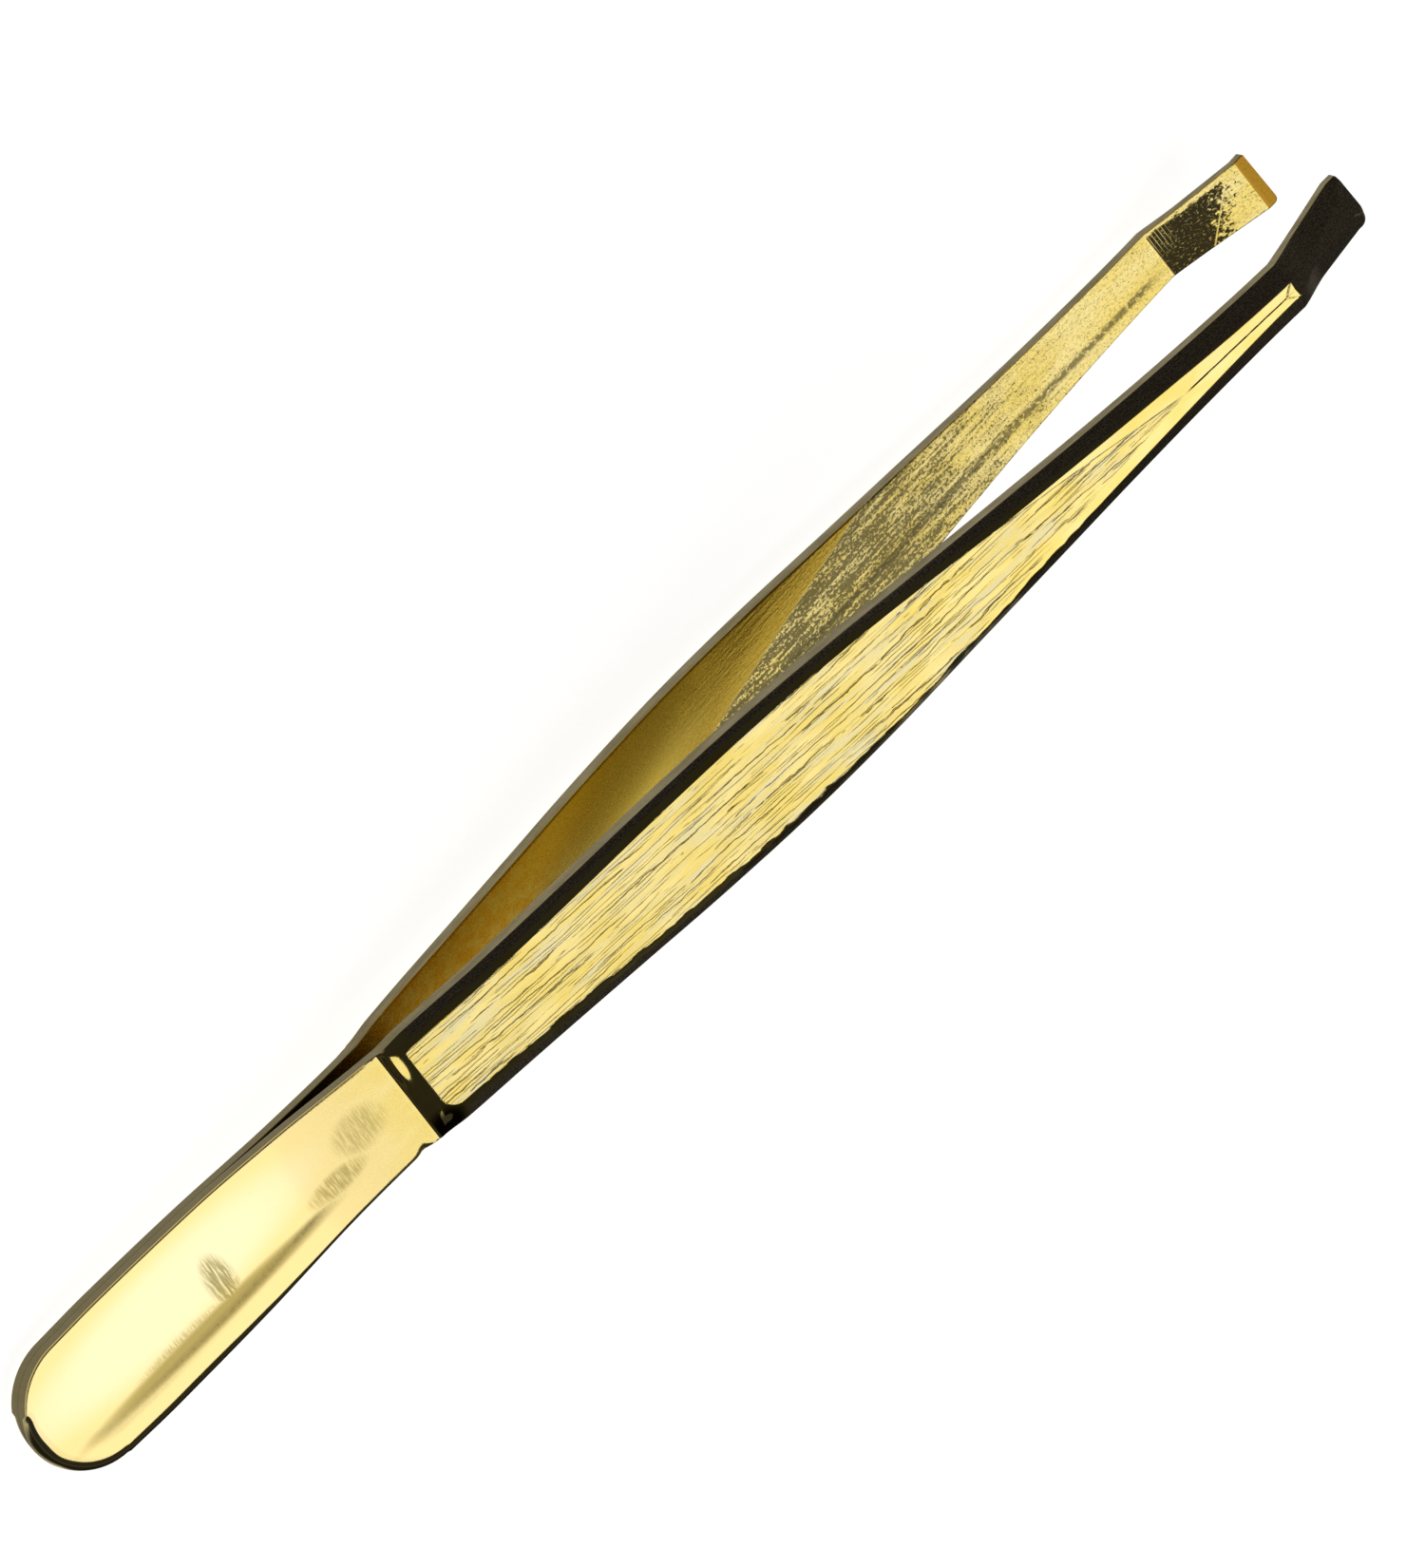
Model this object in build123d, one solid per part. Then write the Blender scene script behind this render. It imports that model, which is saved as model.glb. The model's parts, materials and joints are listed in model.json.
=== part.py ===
from build123d import *
import os
from math import atan2, cos, degrees, radians, tan

# Two-leg tweezers. Each leg is one steel stamping: a flat heel plate, a thin leaf that bends,
# and a thicker bevelled arm that ends in a short tip folded inwards. The heel plates are
# spot-welded face to face. The leaf is the spring; it is parted at its middle into a heel half
# and an arm half with a round knuckle between them, so that the arm can turn there.
#
# Leg frame: x from the heel's end to the tips, y across the width, z away from the plane where
# the legs meet, with the upper leg above that plane. Lengths are in mm and angles in degrees.

# Whole tool
overall_length = 90.0

# Heel plate
heel_end_length = 3.7
heel_side = [(3.7, 3.51), (7.0, 3.56), (13.7, 3.41), (19.0, 3.08), (25.4, 2.69)]
heel_taper = 0.04
plate_thickness = 0.84
rim_radius = 0.25
recess_depth = 0.12
recess_rim = 0.75
recess_end = 18.6
recess_corner = 1.5

# Spot welds between the heel plates
weld_places = [6.5, 13.5]
weld_radius = 1.2
weld_thickness = 0.24

# Leaf spring and its knuckle
leaf_start = 19.0
hinge_place = 22.0
knuckle_clearance = 0.03

# Arm, as (place along x, value)
shoulder_start = 25.4
shoulder_end = 26.4
inner_face = [
    (19.0, 0.0), (25.4, 0.85), (32.2, 1.92), (50.8, 3.94), (63.9, 5.17), (75.1, 6.08), (84.0, 6.66),
]
half_width = [
    (19.0, 3.08), (25.4, 2.69), (27.0, 2.80), (32.4, 2.85), (38.0, 2.97), (43.7, 3.10), (49.5, 3.09),
    (55.3, 2.84), (61.0, 2.43), (66.5, 2.06), (72.0, 1.71), (77.6, 1.41), (84.0, 1.25), (90.0, 1.25),
]
wall_height = [(26.4, 0.93), (50.0, 1.00), (66.0, 0.88), (78.0, 0.72), (90.0, 0.72)]
bevel_inset = [
    (26.4, 0.94), (32.0, 0.92), (46.5, 0.64), (55.6, 0.50), (60.3, 0.53), (65.0, 0.65), (70.0, 0.69),
    (74.6, 0.75), (79.2, 0.84), (84.0, 0.90), (90.0, 0.90),
]
arm_thickness = [(26.4, 1.40), (50.0, 1.47), (66.0, 1.41), (78.0, 1.31), (90.0, 1.31)]
facet_start = 66.0
facet_start_half = 1.3
ridge_start = 76.5
facet_slope = 4.0
ridge_half_flat = 0.03
edge_break = 0.06
arm_stations = [26.4, 32.4, 38.0, 43.7, 49.5, 55.3, 61.0, 66.0, 70.0, 73.5, 76.5, 80.0, 84.0]

# Tip, folded inwards at the crease
crease_place = 84.0
fold_slope = 21.0
tip_knee_thickness = 1.27
tip_end_thickness = 0.68
tip_root_half_width = 1.235
tip_end_half_width = 1.45
tip_corner_radius = 0.30
tip_slant = 0.05
land_length = 0.66
closed_gap = 0.02

# The bow of the outer face, where the tool lies on the table and is ground flat by this much
bow_start = 40.0
bow_end = 80.0
bow_step = 0.5
bow_flat_depth = 0.012

# Cutters reach past every face by this much, and solids that are joined overlap by this much
reach = 12.0
overlap = 1.0


def smooth(points, x):
    """The value at x on a smooth curve through the points."""
    last = len(points) - 2
    i = min(last, max(0, sum(1 for p in points if p[0] <= x) - 1))
    (xa, ya), (xb, yb) = points[i], points[i + 1]
    chord = (yb - ya) / (xb - xa)
    before = chord if i == 0 else (yb - points[i - 1][1]) / (xb - points[i - 1][0])
    after = chord if i == last else (points[i + 2][1] - ya) / (points[i + 2][0] - xa)
    t = (x - xa) / (xb - xa)
    step = xb - xa
    return (
        ya * (1 + 2 * t) * (1 - t) ** 2
        + before * step * t * (1 - t) ** 2
        + yb * t * t * (3 - 2 * t)
        + after * step * t * t * (t - 1)
    )


# The leaf rises straight from the heel plate to the shoulder
leaf_rise = inner_face[1][1] - inner_face[0][1]
leaf_slope = degrees(atan2(leaf_rise, shoulder_start - leaf_start))
leaf_height = plate_thickness / cos(radians(leaf_slope))


def leaf_inner(x):
    """Height of the leaf's inner face."""
    return (x - leaf_start) * tan(radians(leaf_slope))


hinge_height = leaf_inner(hinge_place) + leaf_height / 2

# The tip's inner face runs straight down from the crease. Its last stretch is the gripping land,
# turned so that the two lands meet flat when the arms have turned by the closing angle.
crease_height = smooth(inner_face, crease_place)
land_start = overall_length - land_length
land_height = crease_height - (land_start - crease_place) * tan(radians(fold_slope))
open_angle = degrees(atan2(land_height - hinge_height, land_start - hinge_place))
shut_angle = degrees(atan2(closed_gap / 2 - hinge_height, land_start - hinge_place))
closing_angle = open_angle - shut_angle

# The tip's outer face runs straight from above the crease to the end, and the tip thins towards it
tip_outer_start = crease_height + tip_knee_thickness
tip_outer_end = land_height + tip_end_thickness
tip_outer_slope = (tip_outer_start - tip_outer_end) / (overall_length - crease_place)


def tip_outer(x):
    """Height of the tip's outer face, carried back over the arm's end."""
    return tip_outer_start - (x - crease_place) * tip_outer_slope


# Where the tip's outer face comes down to the top of the arm's side walls
arm_end_slope = (inner_face[-1][1] - inner_face[-2][1]) / (inner_face[-1][0] - inner_face[-2][0])
wall_gap = tip_outer(crease_place) - crease_height - smooth(wall_height, crease_place)
tip_top_place = crease_place + wall_gap / (arm_end_slope + tip_outer_slope)


def outer_face(x):
    """Height of the arm's outer face along its middle, before the bow is ground flat."""
    return smooth(inner_face, x) + smooth(arm_thickness, x)


# The tool lies on one leg: the rim of the heel's end and the bow of the lower arm touch the table
bow_places = [bow_start + bow_step * step for step in range(int((bow_end - bow_start) / bow_step))]
rest_tilt = max(degrees(atan2(outer_face(x) - plate_thickness, x - rim_radius)) for x in bow_places)


def side_prism(points, half_depth):
    """A solid with this outline in side view, and this far to each side of the middle."""
    outline = Plane.XZ * make_face(Polyline(*points, close=True))
    return extrude(outline, half_depth, both=True)


def heel_outline(inset):
    """The heel plate seen from above, drawn in by inset: a round end, then sides that narrow to the leaf."""
    left = Spline(*[(x, y - inset) for x, y in heel_side], tangents=[(1, 0), (1, -heel_taper)])
    right = Spline(*[(x, inset - y) for x, y in heel_side], tangents=[(1, 0), (1, heel_taper)])
    end_length = heel_end_length - inset
    half = heel_side[0][1] - inset
    end = EllipticalCenterArc((heel_end_length, 0), end_length, half, 90, arc_size=180)
    back = Line(left @ 1, right @ 1)
    return make_face([left, right, end, back])


def upright_cylinder(radius, x, bottom, top):
    return Pos(x, 0, (bottom + top) / 2) * Cylinder(radius, top - bottom)


def knuckle(radius):
    """The round of the hinge, across the whole width."""
    return Pos(hinge_place, 0, hinge_height) * Rot(90, 0, 0) * Cylinder(radius, 2 * reach)


def heel_plate():
    """The flat part of a leg, with a shallow recessed panel outside and weld pockets inside."""
    bend_height = leaf_inner(hinge_place)
    profile = [
        (-overlap, 0),
        (leaf_start, 0),
        (hinge_place, bend_height),
        (hinge_place, bend_height + leaf_height),
        (leaf_start - plate_thickness * tan(radians(leaf_slope / 2)), plate_thickness),
        (-overlap, plate_thickness),
    ]
    plate = side_prism(profile, reach) & extrude(heel_outline(0), reach, both=True)
    upper_edges = [edge for edge in plate.edges() if edge.center().Z > plate_thickness / 2]
    rim = [edge for edge in upper_edges if edge.bounding_box().min.X < recess_end]
    rim = [edge for edge in rim if edge.bounding_box().size.Z < plate_thickness / 2]
    plate = fillet(rim, rim_radius)
    panel = heel_outline(recess_rim) & Pos(recess_end - reach, 0) * Rectangle(2 * reach, reach)
    panel = fillet(panel.vertices().sort_by(Axis.X)[-2:], recess_corner)
    plate -= Pos(0, 0, plate_thickness - recess_depth) * extrude(panel, overlap)
    for place in weld_places:
        plate -= upright_cylinder(weld_radius, place, -overlap, weld_thickness / 2)
    return plate - knuckle(plate_thickness / 2 + knuckle_clearance)


def section(x, inner, half, wall, inset, thickness, flat, crown):
    """A cut across the arm: flat inner face, side walls, bevels, facets and a flat or ridged top."""
    top = inner + thickness
    right = [(half, inner), (half, inner + wall), (half - inset, top - crown), (flat, top)]
    points = right + [(-y, z) for y, z in reversed(right)]
    plane = Plane((x, 0, 0), x_dir=(0, 1, 0), z_dir=(1, 0, 0))
    return plane * make_face(Polyline(*points, close=True))


def leaf_section(x):
    half = smooth(half_width, x)
    wall = leaf_height - edge_break
    flat = half - 3 * edge_break
    return section(x, leaf_inner(x), half, wall, edge_break, leaf_height, flat, edge_break / 10)


def arm_section(x):
    """The arm's flat top narrows from facet_start to the ridge, and a facet grows at each side."""
    half = smooth(half_width, x)
    inset = smooth(bevel_inset, x)
    room = half - inset
    narrowed = facet_start_half * (ridge_start - x) / (ridge_start - facet_start)
    flat = min(room - edge_break, max(ridge_half_flat, narrowed))
    crown = (room - flat) * tan(radians(facet_slope))
    inner = smooth(inner_face, x)
    return section(x, inner, half, smooth(wall_height, x), inset, smooth(arm_thickness, x), flat, crown)


def tip():
    """The folded end, with rounded corners, a slightly slanted edge and the gripping land."""
    turn = radians(closing_angle)
    profile = [
        (crease_place, crease_height),
        (land_start, land_height),
        (overall_length, land_height + land_length * tan(turn)),
        (overall_length, tip_outer(overall_length)),
        (tip_top_place, tip_outer(tip_top_place)),
    ]
    corners = [
        (crease_place - overlap, tip_root_half_width),
        (overall_length - tip_slant, tip_end_half_width),
        (overall_length + tip_slant, -tip_end_half_width),
        (crease_place - overlap, -tip_root_half_width),
    ]
    outline = make_face(Polyline(*corners, close=True))
    outline = fillet(outline.vertices().sort_by(Axis.X)[-2:], tip_corner_radius)
    return side_prism(profile, reach) & extrude(outline, reach, both=True)


def beyond_bow():
    """What is ground off the bow."""
    slope = tan(radians(rest_tilt))
    start = plate_thickness - bow_flat_depth + (bow_start - rim_radius) * slope
    end = start + (bow_end - bow_start) * slope
    corners = [(bow_start, start), (bow_end, end), (bow_end, end + overlap), (bow_start, end + overlap)]
    return side_prism(corners, reach)


def arm():
    """Everything past the leaf's middle: half of the leaf, the shoulder, the bevelled arm and the tip."""
    leaf = loft([leaf_section(hinge_place), leaf_section(shoulder_start)], ruled=True)
    shoulder = loft([leaf_section(shoulder_start), arm_section(shoulder_end)], ruled=True)
    bar = loft([arm_section(x) for x in arm_stations], ruled=False)
    bar_end = loft([arm_section(crease_place), arm_section(tip_top_place)], ruled=True)
    cut_start = crease_place - 2 * tip_knee_thickness
    cut_end = crease_place + 2 * tip_knee_thickness
    cut_top = tip_outer(cut_start) + overlap
    tip_line = [(cut_start, tip_outer(cut_start)), (cut_end, tip_outer(cut_end))]
    above_tip = side_prism(tip_line + [(cut_end, cut_top), (cut_start, cut_top)], reach)
    pin_half = smooth(half_width, hinge_place)
    pin = knuckle(plate_thickness / 2) & Box(3 * overall_length, 2 * pin_half, 3 * overall_length)
    return leaf + shoulder + (bar + bar_end - above_tip - beyond_bow()) + tip() + pin


upper_heel = heel_plate()
upper_arm = arm()
welds = Compound(
    [upright_cylinder(weld_radius, x, -weld_thickness / 2, weld_thickness / 2) for x in weld_places]
)
pieces = {
    "upper_heel_plate": upper_heel,
    "upper_arm": upper_arm,
    "lower_heel_plate": mirror(upper_heel, about=Plane.XY),
    "lower_arm": mirror(upper_arm, about=Plane.XY),
    "spot_welds": welds,
}

laid_down = Rot(0, 0, 180) * Rot(0, -rest_tilt, 0)
box = Compound([laid_down * piece for piece in pieces.values()]).bounding_box()
on_table = Pos(-box.center().X, -box.center().Y, -box.min.Z) * laid_down

os.makedirs("parts", exist_ok=True)
for name, piece in pieces.items():
    export_step(on_table * piece, f"parts/{name}.step")

print("closing angle", round(closing_angle, 4), "rest tilt", round(rest_tilt, 4))
land_middle = land_start + land_length / 2
land_middle_height = land_height + land_length / 2 * tan(radians(closing_angle))
for word, x, z in [
    ("upper hinge", hinge_place, hinge_height),
    ("lower hinge", hinge_place, -hinge_height),
    ("upper land", land_middle, land_middle_height),
    ("heel recess", weld_places[1], plate_thickness - recess_depth),
    ("frame origin", 0, 0),
]:
    place = (on_table * Pos(x, 0, z)).position
    print(word, [round(v / 1000, 6) for v in place])
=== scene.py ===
import json
from math import pi, radians, tan

import bmesh
import bpy
import numpy as np
from mathutils import Matrix, Vector


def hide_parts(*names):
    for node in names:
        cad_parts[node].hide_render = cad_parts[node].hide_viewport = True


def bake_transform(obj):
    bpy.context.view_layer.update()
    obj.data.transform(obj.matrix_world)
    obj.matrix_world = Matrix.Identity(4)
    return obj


# Two-leg tweezers. Each leg is one continuous stamping, so each is one mesh here: heel plate, leaf,
# shoulder, bevelled arm and folded tip. It bends at the leaf when the arms are squeezed.
#
# The leg's own frame, in mm: x from the heel's end to the tips, y across the width, z away from the
# plane where the legs meet. leg_to_row places it in the CAD frame, in metres.

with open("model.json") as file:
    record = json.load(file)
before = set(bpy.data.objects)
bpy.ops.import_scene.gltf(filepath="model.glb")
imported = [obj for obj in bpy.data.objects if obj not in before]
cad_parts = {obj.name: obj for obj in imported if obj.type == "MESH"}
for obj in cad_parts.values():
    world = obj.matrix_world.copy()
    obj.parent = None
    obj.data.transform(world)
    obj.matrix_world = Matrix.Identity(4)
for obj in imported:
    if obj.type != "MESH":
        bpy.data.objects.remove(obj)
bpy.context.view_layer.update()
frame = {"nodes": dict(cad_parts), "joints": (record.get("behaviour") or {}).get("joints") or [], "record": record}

MM = 0.001

# Heel plate
heel_end_length = 3.7
heel_end_half = 3.51
plate_thickness = 0.84
leaf_start = 19.0
hinge_place = 22.0
leaf_end = 25.4
leaf_easing = 2.2
recess_depth = 0.078
recess_softness = 0.35
recess_fade = (17.5, 22.5)
heel_wave = 0.003

# Values across the heel, from its lower side (-1) over its round end (0) to its upper side (+1)
heel_places = [-1.0, 0.0, 1.0]
rim_rounding = [0.62, 0.80, 0.09]
recess_rim = [1.18, 0.45, 0.50]
recess_step = [0.80, 1.60, 1.90]
rim_narrows = (8.0, 19.0)
rim_rounding_at_leaf = 0.26

# The leaf's edge: where it gets sharp, and a nick in its lower side
edge_sharpens = (24.4, 25.2)
nick_place = 24.3
nick_half = 0.3
nick_size = 0.30

# Shoulder, where the leaf steps up to the arm
shoulder_base = 25.33
shoulder_lean = 0.01
shoulder_length = 0.95
shoulder_corner = {1: 0.12, -1: 0.90}
shoulder_squares = 0.6
shoulder_foot = (1.12, 0.98)
dent_place = (25.52, 1.62)
dent_size = (0.34, 1.05)
dent_depth = 0.18

# Arm. Its lists are (place along x, value), and the upper side is y > 0. Its section is listed from
# arm_start on, its brushed face runs level before face_start, and past arm_alone the heel's face has
# no part in it.
face_start = 26.0
arm_start = 26.4
arm_alone = 40.0
inner_face = [
    (19.0, 0.0), (25.4, 0.85), (32.2, 1.92), (50.8, 3.94), (63.9, 5.17), (75.1, 6.08), (84.0, 6.66),
]
half_width = [
    (3.7, 3.51), (7.0, 3.56), (13.7, 3.41), (19.0, 3.08), (25.4, 2.69), (27.0, 2.80), (32.4, 2.85),
    (38.0, 2.97), (43.7, 3.10), (49.5, 3.09), (55.3, 2.84), (61.0, 2.43), (66.5, 2.06), (72.0, 1.71),
    (77.6, 1.45), (84.0, 1.32), (90.0, 1.52),
]
lower_side_extra = [
    (3.7, 0.06), (10.0, 0.07), (19.0, 0.03), (25.4, 0.12), (31.0, 0.04), (50.0, 0.06), (66.0, 0.10),
    (80.0, 0.12), (90.0, 0.07),
]
wall_height = [(26.4, 0.93), (50.0, 1.00), (66.0, 0.88), (78.0, 0.72), (90.0, 0.72)]
bevel_inset = {
    1: [(26.4, 0.76), (32.0, 0.74), (46.5, 0.62), (55.6, 0.54), (60.3, 0.57), (65.0, 0.71), (70.0, 0.75),
        (74.6, 0.83), (79.2, 0.95), (84.0, 1.00), (90.0, 1.00)],
    -1: [(26.4, 0.95), (31.0, 0.92), (46.5, 0.61), (55.6, 0.46), (60.3, 0.47), (65.0, 0.58), (70.0, 0.63),
         (74.6, 0.68), (79.2, 0.76), (84.0, 0.83), (90.0, 0.83)],
}
arm_thickness = [(26.4, 1.39), (50.0, 1.455), (66.0, 1.40), (78.0, 1.30), (90.0, 1.30)]
facet_start = 66.0
facet_start_half = 1.3
ridge_start = 76.5
ridge_shift = -0.16
ridge_bends = (68.0, 77.0)
facet_slope = 3.0
facet_drop = 0.02
facet_easing = 0.02
ridge_half_flat = 0.02
groove_depth = 0.028
groove_half = 0.035
groove_start = (75.5, 77.5)
groove_fork = 83.3
groove_fork_slope = 0.75
face_corner = 0.03
edge_rounding = 0.012
inner_edge_rounding = 0.02

# Folded tip. Its outer face runs straight from the knee to the end, and its plane trims the arm's end.
crease_place = 84.0
fold_slope = 21.0
tip_end = 90.0
tip_plane_start = 70.0
tip_rise_at_knee = 1.27
tip_end_height = 5.34
land_start = 89.34
land_turn = 3.91
tip_slant = 0.04
tip_wall = {1: 0.56, -1: 0.34}
tip_wall_run = 2.2
tip_bevel_slope = {1: 0.56, -1: 0.675}
outer_corner = {1: 0.12, -1: 0.55}
inner_corner = {1: 0.10, -1: 0.30}

# Relief of the brushed face and its torn lower edge
relief_height = 0.0024
relief_width = 0.30
relief_run = 9.0
relief_bend = 0.20
brushed_fade = (0.02, -0.06)
torn_reach = 0.16
torn_starts = (27.0, 30.0)
torn_ends = (72.0, 66.0)

# Mesh: rings from the edge to the middle line, in three groups
edge_rings = 7
rim_rings = 7
face_rings = 32
wall_rings = 5
heel_edge_reach = 0.56
heel_rim_reach = 1.7
edge_share = 0.62
rim_share = 0.80
edge_crowding = 1.35
weld_distance = 0.0004
sharp_angle = 32

# Mesh: stations along the leg, as (from, to, spacing). They close up towards the tip's end.
station_runs = [
    (heel_end_length, leaf_start, 0.17), (leaf_start, 24.4, 0.2), (24.4, 27.4, 0.055),
    (27.4, facet_start, 0.25), (facet_start, 82.9, 0.27), (82.9, 86.0, 0.07), (86.0, 89.1, 0.24),
]
end_stations = 16
fan_steps = 26

# Marks. A pair of values is where a mark is absent and where it is full: places along x, across the
# leg for a side, up from its inner face for a height, or out from the mark's middle for a half. A
# pair of pairs is a mark's middle and its reach.

# Outer face and walls
leaf_grain_starts = (17.0, 22.5)
leaf_grain_ends = (25.3, 25.0)
pale_heel_ends = (27.0, 20.0)
# Painted highlight in the heel's middle
heel_highlight_panel = ((9.5, 0.9), (12.0, 2.5))
# Dull bevels and tip, their colour darkened as painted shade
dull_shaded_bevel_height = (1.26, 1.20)
dull_shaded_bevel_starts = (26.6, 27.6)
dull_shaded_tip_starts = (83.9, 84.2)
# Painted shade on the walls towards the heel
dark_wall_ends = (30.0, 22.0)
# Painted shade in the line pressed along the ridge
line_half = (groove_half, 0.012)
line_starts = (76.0, 77.5)
line_ends = (83.5, 83.3)
# Painted shade in the shoulder's lower corner
corner_shade = ((25.95, -2.5), (1.30, 1.20))
corner_shade_starts = (25.28, 25.36)

# Inner face. A band of painted shade and the mottling start on lines that slant across it; before the
# mottling's line the other leg's reflection is painted amber. mottle_level is two values of the
# mottling's noise, which mottle_thinning raises towards the tip.
# Painted shade between the legs, darkest at the leaf
shaded_leaf_ends = (29.0, 24.0)
stains_end = (44.0, 36.0)
# Painted reflection of the other leg, amber
reflected_amber_starts = (38.0, 43.0)
worked_starts = (46.0, 56.0)
# Band of painted shade of the other leg, olive
shaded_band_starts = (44.6, 50.0)
shaded_band_slant = 2.58
mottle_starts = (50.5, 51.7)
mottle_slant = 5.5
mottle_level = (1.45, 1.24)
mottle_thins = (60.0, 82.0)
mottle_thinning = 0.36
speckle_starts = (54.0, 64.0)
streak_middle = -0.75
streak_half = (0.28, 0.08)
streak_ends = (84.0, 82.0)

# Burnt area past the crease. It is thin on a scratch and on combed marks, whose half is in spacings.
burnt_starts = (84.0, 84.08)
burnt_ends = (87.9, 87.2)
burnt_slant = 0.55
burnt_raggedness = 7.0
burnt_side = (1.40, 1.30)
scratch_place = 87.62
scratch_slant = 0.9
burnt_beside_scratch = (0.03, 0.10)
combed_per_mm = 5.2
combed_half = (0.14, 0.05)
combed_ends = (85.4, 84.6)
combed_side = (-0.5, 0.9)

# Worn patches on the heel, as (middle, reach, strength), and the painted shade along its lower rim
worn_patches = [
    ((12.4, -0.4), (1.0, 1.9), 1.0),
    ((9.0, -1.5), (4.2, 0.8), 0.7),
    ((20.0, -0.9), (2.2, 0.7), 0.8),
    ((22.4, 0.4), (1.9, 1.3), 0.6),
]
rim_shade = ((10.4, -1.66), (10.2, 0.62), 0.95)

# Camera, in the leg's own frame: the point that it looks at, the direction from there to it, the
# direction that is down in its picture, and the height that it takes in
look_at = (47.56, -0.39, 0.0)
camera_side = (-0.2556, 0.3837, 0.8876)
picture_down = (-0.6814, -0.7227, 0.1162)
view_height = 76.18
lens = 1000.0
sensor = 36.0


# ---------------------------------------------------------------- the leg's frame

def leg_to_row():
    """Turns leg coordinates in mm into the CAD frame, read from the record's mounts and joints."""
    record = frame["record"]
    away = next(Vector(m["axis"]) for m in record["mounts"] if m["name"] == "upper_heel_rim")
    away.normalize()
    hinges = [Vector(joint["pos_m"]) for joint in frame["joints"]]
    middle = sum(hinges, Vector()) / len(hinges)
    across = Vector((0, -1, 0))
    along = across.cross(away)
    turn = Matrix((along, across, away)).transposed().to_4x4()
    heel_end = middle - along * hinge_place * MM
    return Matrix.Translation(heel_end) @ turn @ Matrix.Scale(MM, 4)


to_row = leg_to_row()


def row_point(point):
    return to_row @ Vector(point)


def row_direction(direction):
    return (to_row.to_3x3() @ Vector(direction)).normalized()


# ---------------------------------------------------------------- curves and noise

def smooth(points, x):
    """The values at x on a smooth curve through the points."""
    px = np.array([p[0] for p in points])
    py = np.array([p[1] for p in points])
    chords = np.diff(py) / np.diff(px)
    slopes = np.empty(len(px))
    slopes[1:-1] = (py[2:] - py[:-2]) / (px[2:] - px[:-2])
    slopes[0] = chords[0]
    slopes[-1] = chords[-1]
    i = np.clip(np.searchsorted(px, x, side="right") - 1, 0, len(px) - 2)
    step = px[i + 1] - px[i]
    t = (x - px[i]) / step
    return (
        py[i] * (1 + 2 * t) * (1 - t) ** 2
        + slopes[i] * step * t * (1 - t) ** 2
        + py[i + 1] * t * t * (3 - 2 * t)
        + slopes[i + 1] * step * t * t * (t - 1)
    )


def ease(start, end, x):
    t = np.clip((x - start) / (end - start), 0, 1)
    return t * t * (3 - 2 * t)


def lattice_noise(x, y, seed):
    """Smooth noise from -1 to 1, one random value for each unit square."""
    table = np.random.RandomState(seed).uniform(-1, 1, (256, 256))
    xi = np.floor(x).astype(int)
    yi = np.floor(y).astype(int)
    tx = x - xi
    ty = y - yi
    tx = tx * tx * (3 - 2 * tx)
    ty = ty * ty * (3 - 2 * ty)
    near = table[xi % 256, yi % 256] * (1 - tx) + table[(xi + 1) % 256, yi % 256] * tx
    far = table[xi % 256, (yi + 1) % 256] * (1 - tx) + table[(xi + 1) % 256, (yi + 1) % 256] * tx
    return near * (1 - ty) + far * ty


def softer_minimum(a, b, width):
    """The lower of two heights, with the corner between them rounded."""
    h = np.maximum(width - np.abs(a - b), 0)
    return np.minimum(a, b) - h * h / (4 * width)


def rounding(d, width):
    """How far a rounded edge has dropped at the distance d in from the edge."""
    t = np.clip(1 - d / width, 0, 1)
    return width * (1 - np.sqrt(1 - t * t))


# ---------------------------------------------------------------- the leg's surfaces

def soft_rise(x, easing):
    """x where it is positive and 0 where it is not, with the corner between them eased."""
    return 0.5 * (x + np.sqrt(x * x + easing * easing))


def arm_inner(x):
    """The inner face without the folded tip: flat at the heel, a leaf that curves up, the bowed arm."""
    arm = smooth(inner_face, np.maximum(x, leaf_start))
    whole_rise = soft_rise(leaf_end - leaf_start, leaf_easing)
    leaf = inner_face[1][1] * soft_rise(x - leaf_start, leaf_easing) / whole_rise
    leaf = leaf * ease(leaf_start - 5.0, leaf_start - 1.0, x)
    return np.where(x < leaf_end, leaf, arm)


def inner_height(x):
    """The inner face with the folded tip and its gripping land."""
    knee = inner_face[-1][1]
    fold = tan(radians(fold_slope))
    tip = knee - (x - crease_place) * fold
    land = knee - (land_start - crease_place) * fold + (x - land_start) * tan(radians(land_turn))
    return np.where(x > land_start, land, np.where(x > crease_place, tip, arm_inner(x)))


def tip_outer(x):
    """The folded tip's outer plane, carried back over the arm's end."""
    at_knee = inner_face[-1][1] + tip_rise_at_knee
    return at_knee + (x - crease_place) * (tip_end_height - at_knee) / (tip_end - crease_place)


def table_height(x):
    """The height above the meeting plane at which the leg below would touch the table."""
    rise = to_row.to_3x3() @ Vector((1, 0, 0))
    lift = to_row.to_3x3() @ Vector((0, 0, 1))
    return (to_row.translation.z + x * rise.z) / lift.z


def heel_outer(x, d, q):
    """The heel's and leaf's outer face. q is the place across, from -1 to +1."""
    rim = np.interp(q, heel_places, recess_rim)
    step = np.interp(q, heel_places, recess_step)
    fade = 1 - ease(*recess_fade, x)
    share = (d - rim) / step
    bowl = recess_softness * ease(0, 1, share) + (1 - recess_softness) * np.clip(share, 0, 1)
    wave = heel_wave * lattice_noise(x * 0.45, d * 0.6 + 3, 5)
    return plate_thickness - fade * recess_depth * bowl + wave * bowl


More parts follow.
